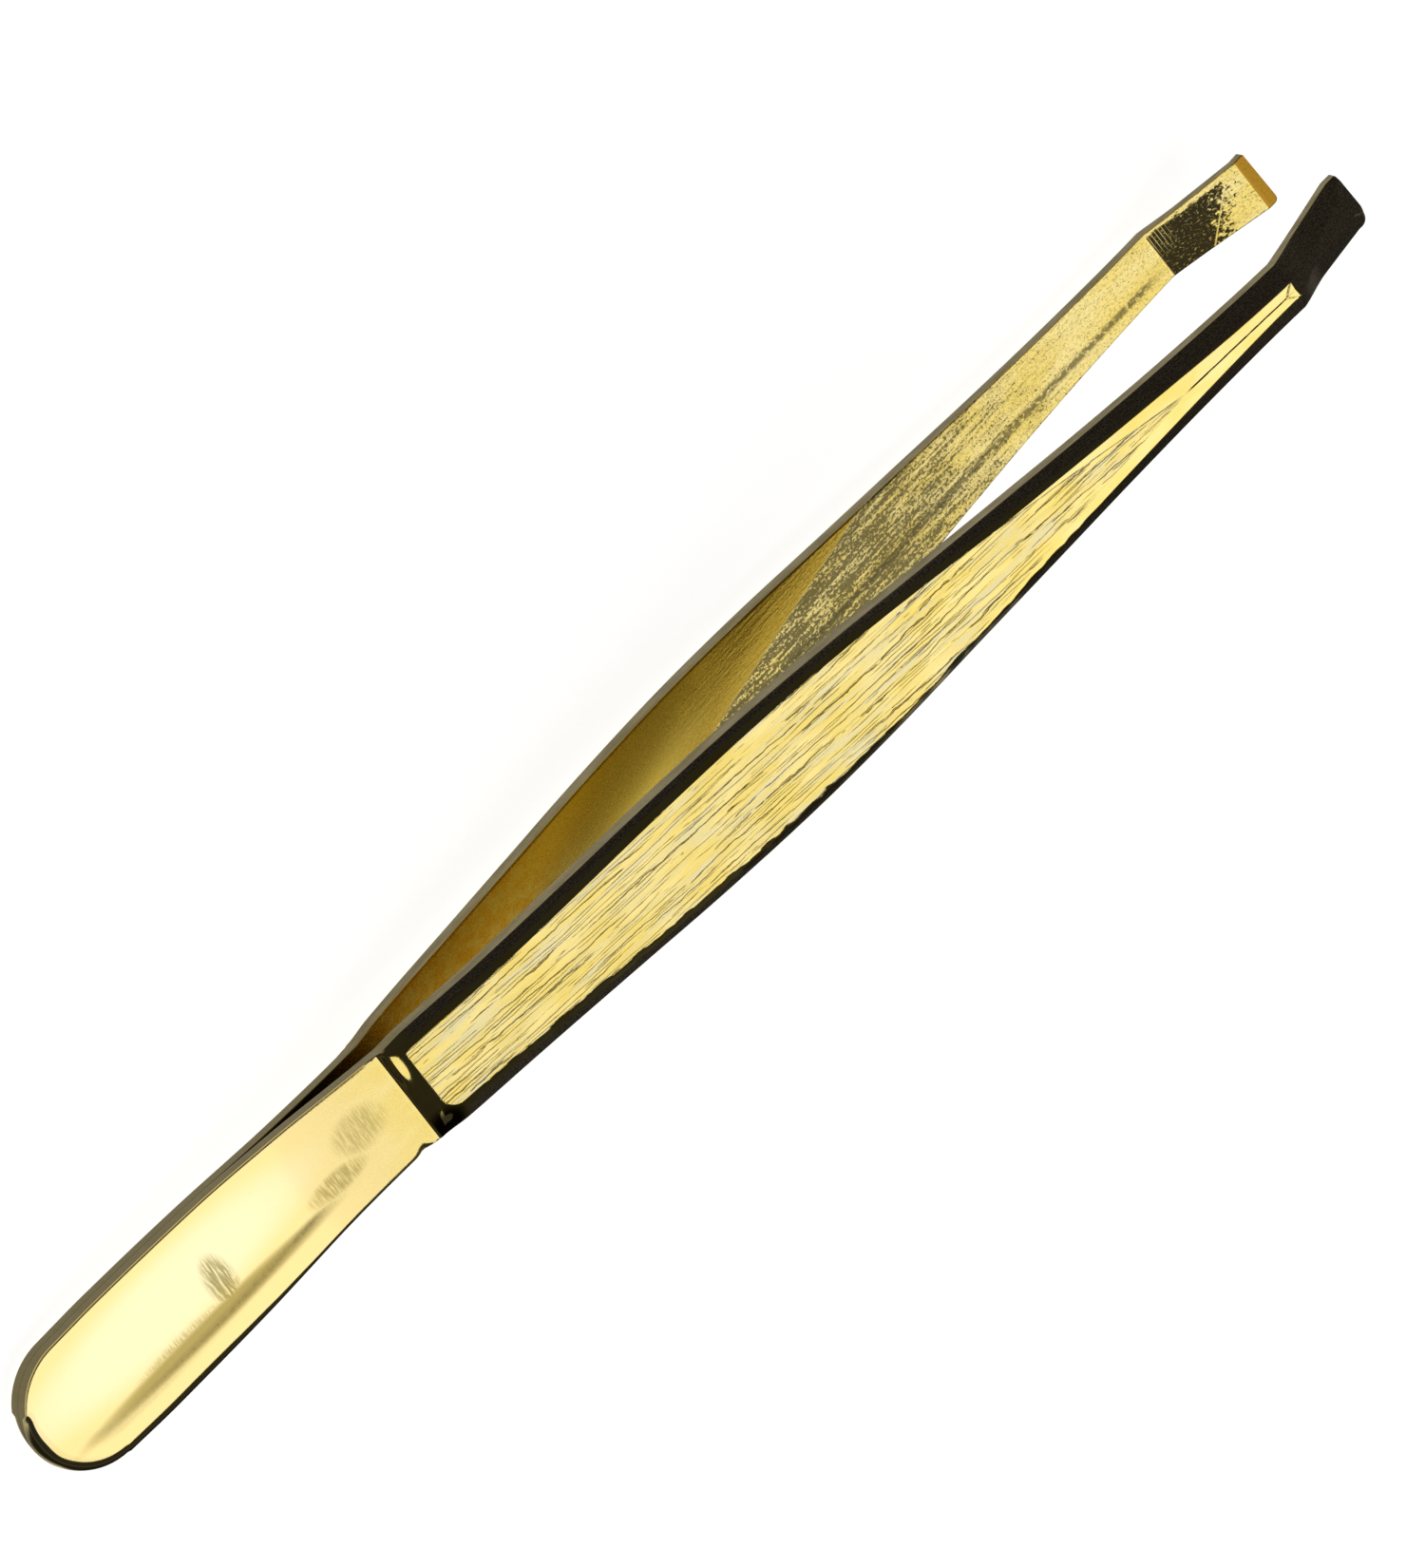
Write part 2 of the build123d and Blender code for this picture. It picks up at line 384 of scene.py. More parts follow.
def flat_half(x):
    """Half the width of the brushed face where the facets narrow it."""
    narrowed = facet_start_half * (ridge_start - x) / (ridge_start - facet_start)
    return np.maximum(ridge_half_flat, narrowed)


def ridge_middle(x):
    return ridge_shift * ease(*ridge_bends, x)


def groove(x, y):
    """The fine line pressed along the ridge, forked at its end."""
    across = np.abs(y - ridge_middle(x))
    fork = np.maximum(x - groove_fork, 0) * groove_fork_slope
    depth = np.maximum(1 - np.abs(across - fork) / groove_half, 0)
    return groove_depth * depth * ease(*groove_start, x)


def arm_top(x, y, seed):
    """The arm's brushed face and its two facets, above the inner face."""
    beyond = np.abs(y - ridge_middle(x)) - flat_half(x)
    crown = soft_rise(beyond, facet_easing)
    shift = y + relief_bend * lattice_noise(x / 6.0, y * 0.6 + 9, seed + 3)
    relief = lattice_noise(x / relief_run, shift / relief_width + 40, seed + 4)
    relief = relief + 0.5 * lattice_noise(x / 4.1, shift / 0.16 + 80, seed + 5)
    brushed = ease(*brushed_fade, beyond)
    height = smooth(arm_thickness, x) - crown * tan(radians(facet_slope))
    return height + relief_height * relief * brushed - groove(x, y), brushed


def bevel_share(x, d, s, seed):
    """Where a place lies on the bevel: 0 at the edge of the raised face, 1 at the bevel's foot.

    The shoulder is the same bevel across the leg. They meet in a corner, which is rounded at the raised
    face, most on the lower side, and gets square down the slope."""
    torn = lattice_noise(x * 1.7, x * 0 + 7, seed) * lattice_noise(x * 0.35, x * 0 + 2, seed + 1)
    torn = torn + 0.35 * lattice_noise(x * 4.3, x * 0 + 3, seed + 2)
    reach = torn_reach * torn * ease(*torn_starts, x) * ease(*torn_ends, x) * (s < 0)
    inset = smooth(bevel_inset[s], np.maximum(x, arm_start)) + reach
    beside = 1 - d / inset
    base = shoulder_base + shoulder_lean * s * (smooth(half_width, x) - d)
    before = (base + shoulder_length - x) / shoulder_length
    corner = shoulder_corner[s]
    a = before + corner
    b = beside + corner
    outside = np.hypot(np.maximum(a, 0), np.maximum(b, 0))
    rounded = np.minimum(np.maximum(a, b), 0) + outside - corner
    square = np.maximum(before, beside)
    down = ease(0, shoulder_squares, square)
    return rounded * (1 - down) + square * down


def dent(x, y):
    """A shallow dent in the shoulder's slope."""
    along = (x - dent_place[0]) / dent_size[0]
    across = (y - dent_place[1]) / dent_size[1]
    return dent_depth * np.exp(-along * along - across * across)


def outer_height(x, d, half, s, q, seed):
    """The whole outer face of a leg, and how much of each place belongs to the brushed face."""
    y = s * (half - d)
    share = bevel_share(x, d, s, seed)
    face, brushed = arm_top(np.maximum(x, face_start), y, seed)
    foot = smooth(wall_height, np.maximum(x, arm_start))
    crest = smooth(arm_thickness, np.maximum(x, arm_start)) - facet_drop * ease(facet_start, ridge_start, x)
    bevel = foot + (crest - foot) * (1 - share) + dent(x, y) * ease(0, 0.3, share) * ease(1.0, 0.8, share)
    arm = softer_minimum(face, bevel, face_corner)
    heel = heel_outer(x, d, q)
    on_arm = ease(*shoulder_foot, share)
    joined = heel * (1 - on_arm) + np.maximum(arm, heel) * on_arm
    height = arm_inner(x) + np.where(x > arm_alone, arm, joined)
    height = np.where(x > tip_plane_start, np.minimum(height, tip_outer(x)), height)
    wall = foot + (tip_wall[s] - foot) * ease(crease_place, crease_place + tip_wall_run, x)
    tip_bevel = inner_height(x) + wall + d * tip_bevel_slope[s]
    height = np.where(x > crease_place, np.minimum(height, tip_bevel), height)
    height = np.minimum(height, table_height(x))
    narrow = ease(*rim_narrows, x)
    heel_round = np.interp(q, heel_places, rim_rounding) * (1 - narrow) + rim_rounding_at_leaf * narrow
    heel_round = np.where(q > 0.5, np.minimum(heel_round, rim_rounding[2]), heel_round)
    nick = nick_size * np.exp(-(((x - nick_place) / nick_half) ** 2)) * (s < 0)
    to_arm = ease(*edge_sharpens, x)
    width = (heel_round + nick) * (1 - to_arm) + edge_rounding * to_arm
    brushed = brushed * ease(0.02, -0.05, share) * ease(crease_place, crease_place - 0.3, x)
    return height - rounding(d, width), brushed


# ---------------------------------------------------------------- the mesh of one leg

def span(start, end, step):
    """Places from start up to, but not including, end."""
    count = max(1, round((end - start) / step))
    return start + (end - start) * np.arange(count) / count


def stations():
    """Places along the leg, from the tip's end to the start of the heel's round end."""
    places = [span(*run) for run in station_runs]
    last = station_runs[-1][1]
    closing = tip_end - (tip_end - last) * (1 - np.arange(end_stations) / end_stations) ** 2
    return np.concatenate(places + [closing, [tip_end]])[::-1]


def end_rounding(u, corner):
    """How much narrower the tip is at u, where its corner is rounded."""
    t = np.clip(1 - (tip_end - u) / corner, 0, 1)
    return corner * (1 - np.sqrt(1 - t * t))


def ring_distances(x, room, s):
    """Distances in from the edge of the outer face, close together where the shape turns."""
    inset = smooth(bevel_inset[s], np.maximum(x, arm_start))
    on_arm = ease(shoulder_base - 2.0, shoulder_base, x)
    edge = heel_edge_reach * (1 - on_arm) + (inset - 0.06) * on_arm
    edge = np.minimum(edge, room * edge_share)
    rim = heel_rim_reach * (1 - on_arm) + (inset + 0.12) * on_arm
    rim = np.minimum(rim, room * rim_share)
    first = edge[:, None] * (np.arange(edge_rings) / edge_rings)[None, :] ** edge_crowding
    second = edge[:, None] + (rim - edge)[:, None] * (np.arange(rim_rings) / rim_rings)[None, :]
    third = rim[:, None] + (room - rim)[:, None] * (np.arange(face_rings + 1) / face_rings)[None, :]
    return np.concatenate([first, second, third], axis=1)


def inner_distances(room):
    """The same for the inner face, with half as many rings."""
    count = (edge_rings + rim_rings + face_rings) // 2
    edge = inner_edge_rounding
    first = np.array([0.0, 0.3, 1.0]) * edge
    rest = edge + (room - edge)[:, None] * (np.arange(1, count - 1) / (count - 2))[None, :]
    return np.concatenate([np.tile(first, (len(room), 1)), rest], axis=1)


def leg_side(s, seed):
    """Half a leg as a grid: the outer face from the middle to the edge, the wall, then the inner face.

    Each row is a line across the leg. Round the heel's end the rows fan about one point."""
    u = stations()
    turn = np.radians(90 + 90 * np.arange(1, fan_steps + 1) / fan_steps)
    still = np.zeros(fan_steps)
    half = smooth(half_width, u) + (smooth(lower_side_extra, u) if s < 0 else 0)
    middle = np.concatenate([u, still + heel_end_length])
    edge_x = np.concatenate([u, heel_end_length * (1 + np.cos(turn))])
    q = np.concatenate([np.full(len(u), float(s)), s * np.sin(turn)])[:, None]
    slant = np.concatenate([ease(crease_place, tip_end, u), still])[:, None] * tip_slant / half_width[-1][1]

    def lines(corner, distances):
        """Points on every line at the distances in from the edge."""
        edge_y = np.concatenate([half - end_rounding(u, corner), heel_end_half * np.sin(turn)])
        room = np.hypot(middle - edge_x, edge_y)
        d = distances(room)
        part = d / room[:, None]
        x = edge_x[:, None] + (middle - edge_x)[:, None] * part
        y = edge_y[:, None] * (1 - part)
        return x, y, d

    x, y, d = lines(outer_corner[s], lambda room: ring_distances(edge_x, room, s))
    z, brushed = outer_height(x, d, y + d, s, np.broadcast_to(q, x.shape), seed)
    top = np.stack([x - slant * y * s, y * s, z, brushed], axis=2)

    x, y, d = lines(inner_corner[s], inner_distances)
    z = inner_height(x) + rounding(d, inner_edge_rounding)
    bottom = np.stack([x - slant * y * s, y * s, z, z * 0], axis=2)

    share = (np.arange(1, wall_rings) / wall_rings)[None, :, None]
    wall = top[:, :1] * (1 - share) + bottom[:, :1] * share
    wall[..., 3] = 0
    return np.concatenate([top[:, ::-1], wall, bottom], axis=1)


def grid_faces(base, rows, columns, flip):
    """The faces between the rows of one grid. Their kinds are 0 outer face, 1 wall, 2 inner face."""
    top_rings = edge_rings + rim_rings + face_rings
    faces = []
    kinds = []
    for i in range(rows - 1):
        for m in range(columns - 1):
            corner = base + i * columns + m
            face = (corner, corner + 1, corner + columns + 1, corner + columns)
            faces.append(face if flip else face[::-1])
            kinds.append(0 if m < top_rings else 1 if m < top_rings + wall_rings else 2)
    return faces, kinds


def end_faces(base, columns, flip):
    """The end of the tip, closed between the first row's outer and inner halves."""
    inner_rings = (edge_rings + rim_rings + face_rings) // 2
    last = base + columns - 1
    faces = []
    for k in range(inner_rings):
        outer = [base + 2 * k, base + 2 * k + 1, base + 2 * k + 2]
        inner = [last - k - 1, last - k]
        if k == inner_rings - 1:
            inner = [outer[-1] + i for i in range(1, wall_rings + 2)] + inner[1:]
        face = outer + inner
        faces.append(face[::-1] if flip else face)
    return faces


def leg_mesh(name, mirrored, seed, materials):
    """One leg. Places in its own frame and its brushed area are kept as attributes for the materials."""
    grids = []
    faces = []
    kinds = []
    base = 0
    for s in (1, -1):
        grid = leg_side(s, seed)
        rows, columns = grid.shape[:2]
        flip = (s > 0) != mirrored
        side_faces, side_kinds = grid_faces(base, rows, columns, flip)
        ends = end_faces(base, columns, flip)
        faces += side_faces + ends
        kinds += side_kinds + [1] * len(ends)
        grids.append(grid.reshape(-1, 4))
        base += rows * columns
    points = np.concatenate(grids)
    shown = points[:, :3] * ((1, 1, -1) if mirrored else (1, 1, 1))
    mesh = bpy.data.meshes.new(name)
    mesh.from_pydata([tuple(row_point(p)) for p in shown], [], faces)
    mesh.polygons.foreach_set("material_index", kinds)
    height = points[:, 2] - arm_inner(points[:, 0])
    stored = mesh.attributes.new("leg_place", "FLOAT_VECTOR", "POINT")
    stored.data.foreach_set("vector", np.column_stack([points[:, :2], height]).ravel())
    stored = mesh.attributes.new("brushed", "FLOAT", "POINT")
    stored.data.foreach_set("value", points[:, 3].copy())
    welded = bmesh.new()
    welded.from_mesh(mesh)
    bmesh.ops.remove_doubles(welded, verts=welded.verts, dist=weld_distance * MM)
    bmesh.ops.dissolve_degenerate(welded, edges=welded.edges, dist=weld_distance / 2 * MM)
    welded.to_mesh(mesh)
    welded.free()
    mesh.polygons.foreach_set("use_smooth", [True] * len(mesh.polygons))
    mesh.set_sharp_from_angle(angle=radians(sharp_angle))
    for material in materials:
        mesh.materials.append(material)
    leg = bpy.data.objects.new(name, mesh)
    bpy.context.scene.collection.objects.link(leg)
    return leg


# ---------------------------------------------------------------- materials

class Nodes:
    """A short way to write a material's nodes. A value is a number, a colour or another node's output."""

    def __init__(self, name):
        self.material = bpy.data.materials.new(name)
        self.material.use_nodes = True
        self.tree = self.material.node_tree
        self.shader = self.tree.nodes["Principled BSDF"]
        self.shader.inputs["Metallic"].default_value = 1.0

    def add(self, kind, **settings):
        node = self.tree.nodes.new("ShaderNode" + kind)
        for key, value in settings.items():
            setattr(node, key, value)
        return node

    def put(self, node, name, value):
        socket = node.inputs[name]
        if isinstance(value, bpy.types.NodeSocket):
            self.tree.links.new(value, socket)
        else:
            socket.default_value = value

    def math(self, operation, a, b=0.0):
        node = self.add("Math", operation=operation)
        self.put(node, 0, a)
        self.put(node, 1, b)
        return node.outputs[0]

    def place(self):
        """The place in the leg's own frame, with its height taken from the inner face."""
        return self.add("Attribute", attribute_name="leg_place").outputs["Vector"]

    def parts(self, place):
        """Along the leg, across it, and up from its inner face."""
        parts = self.add("SeparateXYZ")
        self.put(parts, "Vector", place)
        return parts.outputs["X"], parts.outputs["Y"], parts.outputs["Z"]

    def stretched(self, vector, scale, shift=(0, 0, 0)):
        """The place scaled along each axis, so that a noise is finer there, and then shifted."""
        node = self.add("Mapping")
        self.put(node, "Vector", vector)
        self.put(node, "Scale", scale)
        self.put(node, "Location", shift)
        return node.outputs["Vector"]

    def noise(self, vector, scale=1.0, detail=2.0, roughness=0.5, distortion=0.0):
        node = self.add("TexNoise")
        self.put(node, "Vector", vector)
        self.put(node, "Scale", scale)
        self.put(node, "Detail", detail)
        self.put(node, "Roughness", roughness)
        self.put(node, "Distortion", distortion)
        return node.outputs["Fac"]

    def ramp(self, value, low, high, start=0.0, end=1.0):
        """Eases from start, where the value is low, to end, where it is high. Low may be above high."""
        node = self.add("MapRange", interpolation_type="SMOOTHSTEP")
        self.put(node, "Value", value)
        self.put(node, "From Min", low)
        self.put(node, "From Max", high)
        self.put(node, "To Min", start)
        self.put(node, "To Max", end)
        return node.outputs["Result"]

    def mix(self, factor, a, b):
        node = self.add("Mix", data_type="RGBA")
        self.put(node, "Factor", factor)
        self.put(node, 6, a)
        self.put(node, 7, b)
        return node.outputs[2]

    def mix_number(self, factor, a, b):
        node = self.add("Mix", data_type="FLOAT")
        self.put(node, 0, factor)
        self.put(node, 2, a)
        self.put(node, 3, b)
        return node.outputs[0]

    def bump(self, height, distance, normal=None):
        node = self.add("Bump")
        self.put(node, "Height", height)
        self.put(node, "Distance", distance)
        self.put(node, "Strength", 1.0)
        if normal is not None:
            self.put(node, "Normal", normal)
        return node.outputs["Normal"]

    def finish(self, colour, roughness, normal):
        self.put(self.shader, "Base Color", colour)
        self.put(self.shader, "Roughness", roughness)
        self.put(self.shader, "Normal", normal)
        return self.material


# Colours, in linear light
# Palest gold, for painted highlights on the heel's middle and on the brushed face's streaks
HIGHLIGHT_GOLD = (1.0, 0.92, 0.56, 1.0)
RIM_GOLD = (1.0, 0.81, 0.35, 1.0)
PALE_GOLD = (1.0, 0.83, 0.33, 1.0)
DEEP_GOLD = (0.95, 0.75, 0.21, 1.0)
ORANGE = (0.92, 0.58, 0.05, 1.0)
GROOVE = (0.22, 0.15, 0.035, 1.0)
# Worn patches, and the painted shade along the heel's lower rim
WORN_AND_SHADE = (0.31, 0.235, 0.045, 1.0)
WALL_LIGHT = (0.47, 0.40, 0.21, 1.0)
WALL_DARK = (0.33, 0.27, 0.12, 1.0)
# The tip's burn, and painted shade in the shoulder's corner and in the pressed line
BURNT_AND_SHADE = (0.035, 0.028, 0.012, 1.0)
LAND_GOLD = (0.43, 0.235, 0.025, 1.0)
# Dark marks, and painted shade between the legs towards the leaf
SOOT_AND_SHADE = (0.10, 0.085, 0.035, 1.0)
# Painted reflection of the other leg on the inner face
REFLECTED_AMBER = (1.0, 0.74, 0.13, 1.0)
# Painted shade of the other leg on the inner face
OLIVE_SHADE = (0.54, 0.37, 0.055, 1.0)
# Dull bevels and tip, darkened as painted shade
DULL_SHADED_BROWN = (0.40, 0.30, 0.18, 1.0)
DULL_SHADED_GREY = (0.80, 0.70, 0.48, 1.0)


def grain_lines(n, place, across, spacing, waviness, run, width, shift):
    """Fine lines along the leg, wavy like wood grain, broken here and there: 1 in a line, 0 beside it."""
    wave = n.noise(n.stretched(place, (run, 0.30 / spacing, 0.0), (shift, shift, 0)), 1.0, 2.0, 0.5)
    kink = n.noise(n.stretched(place, (0.9, 0.8 / spacing, 0.0), (shift, 5, 0)), 1.0, 2.0, 0.6)
    level = n.math("ADD", n.math("MULTIPLY", across, 1.0 / spacing), n.math("MULTIPLY", wave, waviness))
    level = n.math("ADD", level, n.math("MULTIPLY", kink, 0.7))
    beside = n.math("ABSOLUTE", n.math("SUBTRACT", n.math("FRACT", level), 0.5))
    line = n.ramp(beside, width, width * 0.3)
    present = n.noise(n.stretched(place, (run * 1.3, 1.1 / spacing, 0.0), (shift + 7, 3, 0)), 1.0, 2.0)
    return n.math("MULTIPLY", line, n.ramp(present, 0.44, 0.60))


def patch(n, along, across, middle, reach):
    """1 round a place on the leg, fading to 0 at the reach."""
    a = n.math("DIVIDE", n.math("SUBTRACT", along, middle[0]), reach[0])
    b = n.math("DIVIDE", n.math("SUBTRACT", across, middle[1]), reach[1])
    far = n.math("ADD", n.math("MULTIPLY", a, a), n.math("MULTIPLY", b, b))
    return n.ramp(far, 1.0, 0.15)


def worn_and_shaded_area(n, scuffs, along, across):
    """How worn and shaded the heel is: scuffed patches, and an even painted shade along its lower rim."""
    worn_and_shade = 0.0
    for middle, reach, strength in worn_patches:
        spot = n.math("MULTIPLY", patch(n, along, across, middle, reach), strength)
        worn_and_shade = n.math("MAXIMUM", worn_and_shade, spot)
    worn_and_shade = n.math("MULTIPLY", worn_and_shade, n.ramp(scuffs, 0.36, 0.58, 0.25, 1.0))
    # Painted shade along the heel's lower rim
    middle, reach, strength = rim_shade
    shade = n.math("MULTIPLY", patch(n, along, across, middle, reach), strength)
    return n.math("MAXIMUM", worn_and_shade, shade)


def pressed_line_shade(n, along, across):
    """1 on the line pressed along the ridge, where its shade is painted dark."""
    beside = n.math("ABSOLUTE", n.math("SUBTRACT", across, ridge_shift))
    line = n.math("MULTIPLY", n.ramp(beside, *line_half), n.ramp(along, *line_starts))
    return n.math("MULTIPLY", line, n.ramp(along, *line_ends))


def shoulder_corner_shade(n, along, across, brushed):
    """1 where shade is painted in the shoulder's lower corner, round its foot but not on the brushed face."""
    corner = patch(n, along, across, *corner_shade)
    corner = n.math("MULTIPLY", corner, n.ramp(along, *corner_shade_starts))
    return n.math("MULTIPLY", corner, n.math("SUBTRACT", 1.0, brushed))


def outer_gold():
    """The outer face: polished heel, grainy leaf, the brushed face with long fine lines, and dull arm bevels and
    tip darkened with painted shade.
    """
    n = Nodes("outer_gold")
    place = n.place()
    along, across, height = n.parts(place)
    brushed = n.add("Attribute", attribute_name="brushed").outputs["Fac"]
    leaf = n.math("MULTIPLY", n.ramp(along, *leaf_grain_starts), n.ramp(along, *leaf_grain_ends))

    coarse = grain_lines(n, place, across, 0.42, 2.6, 0.10, 0.085, 3)
    fine = grain_lines(n, place, across, 0.19, 3.2, 0.15, 0.14, 17)
    lines = n.math("MAXIMUM", coarse, n.math("MULTIPLY", fine, 0.45))
    lines = n.math("MULTIPLY", lines, brushed)
    hair = n.noise(n.stretched(place, (0.6, 22.0, 0.0)), 1.0, 2.0)
    streaks = n.noise(n.stretched(place, (0.22, 2.6, 0.0), (8, 1, 0)), 1.0, 3.0, 0.55)
    speck = n.noise(n.stretched(place, (9.0, 14.0, 6.0)), 1.0, 3.0, 0.6)

    scuffs = n.noise(n.stretched(place, (8.0, 0.9, 0.0)), 1.0, 3.0, 0.6, 0.4)
    worn_and_shade = worn_and_shaded_area(n, scuffs, along, across)

    cloud = n.noise(n.stretched(place, (0.35, 0.8, 0.5)), 1.0, 3.0)
    colour = n.mix(n.ramp(cloud, 0.35, 0.65), PALE_GOLD, DEEP_GOLD)
    # Painted highlight in the heel's middle
    heel_highlight = patch(n, along, across, *heel_highlight_panel)
    colour = n.mix(n.ramp(along, *pale_heel_ends), colour, n.mix(heel_highlight, RIM_GOLD, HIGHLIGHT_GOLD))
    # Painted highlight along pale streaks of the brushed face
    shine = n.math("MULTIPLY", n.ramp(streaks, 0.50, 0.66), brushed)
    colour = n.mix(n.math("MULTIPLY", shine, 0.7), colour, HIGHLIGHT_GOLD)
    colour = n.mix(n.math("MULTIPLY", lines, 0.72), colour, GROOVE)
    # Worn patches, and painted shade along the heel's lower rim
    colour = n.mix(n.math("MULTIPLY", worn_and_shade, 0.80), colour, WORN_AND_SHADE)

    # Painted shade in the line pressed along the ridge
    colour = n.mix(n.math("MULTIPLY", pressed_line_shade(n, along, across), 0.65), colour, BURNT_AND_SHADE)
    # Painted shade in the shoulder's lower corner
    colour = n.mix(shoulder_corner_shade(n, along, across, brushed), colour, BURNT_AND_SHADE)
    # Dull bevels and folded tip, their colour darkened as painted shade
    bevel = n.math("MULTIPLY", n.ramp(height, *dull_shaded_bevel_height), n.ramp(along, *dull_shaded_bevel_starts))
    dull_and_shaded = n.math("MAXIMUM", bevel, n.ramp(along, *dull_shaded_tip_starts))
    colour = n.mix(dull_and_shaded, colour, n.mix(n.ramp(speck, 0.35, 0.65), DULL_SHADED_BROWN, DULL_SHADED_GREY))

    plain = n.ramp(speck, 0.3, 0.7, 0.09, 0.15)
    worked = n.ramp(streaks, 0.3, 0.7, 0.14, 0.30)
    roughness = n.mix_number(brushed, plain, worked)
    grainy = n.ramp(speck, 0.3, 0.7, 0.17, 0.27)
    roughness = n.mix_number(leaf, roughness, grainy)
    roughness = n.mix_number(dull_and_shaded, roughness, 0.28)

    normal = n.bump(n.math("MULTIPLY", lines, -1.0), 1.2e-5)
    normal = n.bump(n.math("MULTIPLY", hair, brushed), 2.5e-6, normal)
    normal = n.bump(n.math("MULTIPLY", streaks, brushed), 1.2e-5, normal)
    normal = n.bump(n.math("MULTIPLY", speck, leaf), 4.0e-6, normal)
    normal = n.bump(n.math("MULTIPLY", scuffs, worn_and_shade), 9.0e-6, normal)
    return n.finish(colour, roughness, normal)


def wall_gold():
    """The sheared side walls: thin, dull plating over fine upright shear marks, with painted shade towards the
    heel.
    """
    n = Nodes("wall_gold")
    place = n.place()
    streaks = n.noise(n.stretched(place, (6.0, 1.0, 0.8)), 1.0, 3.0, 0.6)
    cloud = n.noise(n.stretched(place, (0.5, 0.5, 2.0)), 1.0, 2.0)
    along = n.parts(place)[0]
    # Cloudy dull plating, and painted shade towards the heel
    dull_and_shaded = n.math("MAXIMUM", n.ramp(cloud, 0.3, 0.7), n.ramp(along, *dark_wall_ends))
    colour = n.mix(dull_and_shaded, WALL_LIGHT, WALL_DARK)
    roughness = n.ramp(streaks, 0.3, 0.7, 0.26, 0.38)
    normal = n.bump(streaks, 5.0e-6)
    return n.finish(colour, roughness, normal)


def dark_grain(n, along, pits, drawn):
    """1 on dark marks drawn out along the leg, fewer towards the tip."""
    grain = n.math("ADD", n.math("MULTIPLY", pits, 1.5), drawn)
    grain = n.math("ADD", grain, n.ramp(along, *mottle_thins, 0.0, mottle_thinning))
    return n.ramp(grain, *mottle_level)


def dark_streak(n, along, across, blotches):
    """1 on the ragged dark streak along the lower side of the inner face."""
    streak = n.ramp(n.math("ABSOLUTE", n.math("SUBTRACT", across, streak_middle)), *streak_half)
    streak = n.math("MULTIPLY", streak, n.ramp(along, *streak_ends))
    return n.math("MULTIPLY", streak, n.ramp(blotches, 0.36, 0.50))


def burnt_area(n, along, across, blotches, pits):
    """1 where the tip is burnt: ragged, short of its edge, with a scratch, a few combed marks and flecks."""
    slanted = n.math("SUBTRACT", along, n.math("MULTIPLY", across, burnt_slant))
    ragged = n.math("MULTIPLY", n.math("SUBTRACT", blotches, 0.5), burnt_raggedness)
    limit = n.math("ADD", slanted, ragged)
    burnt = n.math("MULTIPLY", n.ramp(limit, *burnt_ends), n.ramp(along, *burnt_starts))
    edge_free = n.ramp(n.math("ADD", across, n.math("MULTIPLY", blotches, 0.5)), *burnt_side)
    burnt = n.math("MULTIPLY", burnt, edge_free)
    scratch = n.math("SUBTRACT", along, n.math("MULTIPLY", across, scratch_slant))
    scratch = n.math("ABSOLUTE", n.math("SUBTRACT", scratch, scratch_place))
    burnt = n.math("MULTIPLY", burnt, n.ramp(scratch, *burnt_beside_scratch, 0.2, 1.0))
    combed = n.math("FRACT", n.math("MULTIPLY", along, combed_per_mm))
    combed = n.math("ABSOLUTE", n.math("SUBTRACT", combed, 0.5))
    combed = n.math("MULTIPLY", n.ramp(combed, *combed_half), n.ramp(along, *combed_ends))
    combed = n.math("MULTIPLY", combed, n.ramp(across, *combed_side))
    burnt = n.math("MULTIPLY", burnt, n.math("SUBTRACT", 1.0, n.math("MULTIPLY", combed, 0.8)))
    fleck = n.ramp(pits, 0.53, 0.64)
    return n.math("MULTIPLY", burnt, n.math("SUBTRACT", 1.0, n.math("MULTIPLY", fleck, 0.6)))


